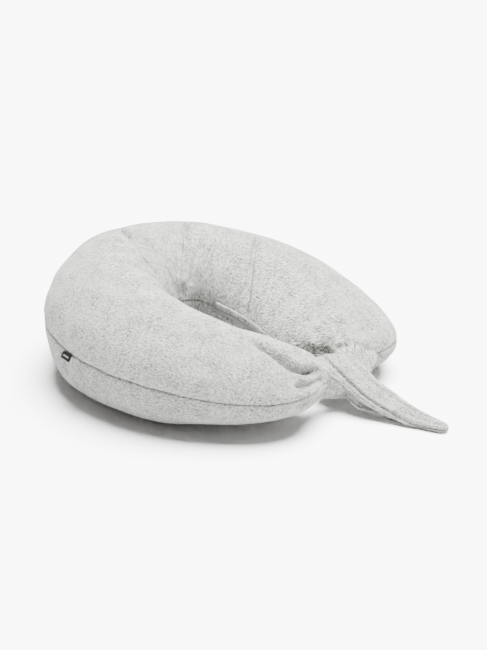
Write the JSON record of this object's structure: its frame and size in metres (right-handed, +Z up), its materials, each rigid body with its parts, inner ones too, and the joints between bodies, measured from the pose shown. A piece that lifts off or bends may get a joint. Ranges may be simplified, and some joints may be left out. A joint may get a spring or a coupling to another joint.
{
  "type": "nursing pillow",
  "caption": "Crescent nursing pillow in a zipped quilted cover, bent into a ring with its tapered arm ends tied in a half knot.",
  "frame": {"origin": "middle of the footprint, on the floor the pillow lies on", "axes": "+X from the back of the ring to the tails, +Y to the rear arm, +Z up"},
  "size_m": [0.7177, 0.5486, 0.2071],
  "materials": {
    "cover_jersey": "matte quilted jersey, light grey melange",
    "casing_cotton": "plain woven cotton, off white",
    "fibre_fill": "loose polyester fibre",
    "sewing_thread": "spun polyester thread, grey",
    "care_label_satin": "printed satin ribbon, white",
    "zip_tape": "woven zip tape, grey",
    "zip_teeth": "moulded acetal, grey",
    "zip_metal": "painted zinc, grey",
    "label_black": "folded woven ribbon, black with a plain grey bar"
  },
  "bodies": {
    "root": {"cover_top_panel": "cover_jersey", "cover_bottom_panel": "cover_jersey", "casing_top_panel": "casing_cotton", "casing_bottom_panel": "casing_cotton", "filling": "fibre_fill", "outer_seam_thread": "sewing_thread", "inner_seam_thread": "sewing_thread", "care_label": "care_label_satin", "zip_tape_upper": "zip_tape", "zip_tape_lower": "zip_tape", "zip_teeth_upper": "zip_teeth", "zip_teeth_lower": "zip_teeth", "zip_top_stops": "zip_teeth", "zip_bottom_stop": "zip_teeth", "zip_placket": "cover_jersey", "front_tie": "cover_jersey", "rear_tie": "cover_jersey", "knot_wrap": "cover_jersey", "upper_tail_root": "cover_jersey"},
    "zip_slider": {"zip_slider": "zip_metal"},
    "zip_pull": {"zip_pull_tab": "zip_metal"},
    "upper_tail": {"upper_tail_top_layer": "cover_jersey", "upper_tail_bottom_layer": "cover_jersey"},
    "lower_tail": {"lower_tail_top_layer": "cover_jersey", "lower_tail_bottom_layer": "cover_jersey"},
    "label_flap": {"brand_label": "label_black"}
  },
  "joints": [
    {"name": "zip_run", "type": "hinge", "parent": "root", "child": "zip_slider", "pos_m": [-0.08719, -0.26855, 0.07282], "axis": [0.1855, -0.031, 0.9822], "range_deg": [0, 22.64]},
    {"name": "zip_tab_swing", "type": "hinge", "parent": "zip_slider", "child": "zip_pull", "pos_m": [0.01929, 0.01224, 0.06158], "axis": [-0.9165, 0.3549, 0.1843], "range_deg": [0, 120]},
    {"name": "upper_tail_lift", "type": "hinge", "parent": "root", "child": "upper_tail", "pos_m": [0.2082, -0.008, 0.065], "axis": [-0.0555, -0.9985, 0], "range_deg": [0, 60]},
    {"name": "lower_tail_swing", "type": "hinge", "parent": "root", "child": "lower_tail", "pos_m": [0.226, -0.004, 0.013], "axis": [0, 0, 1], "range_deg": [-12, 30]},
    {"name": "label_fold", "type": "hinge", "parent": "root", "child": "label_flap", "pos_m": [-0.17396, -0.26253, 0.09662], "axis": [-0.951, 0.3091, 0], "range_deg": [-30, 100]}
  ]
}
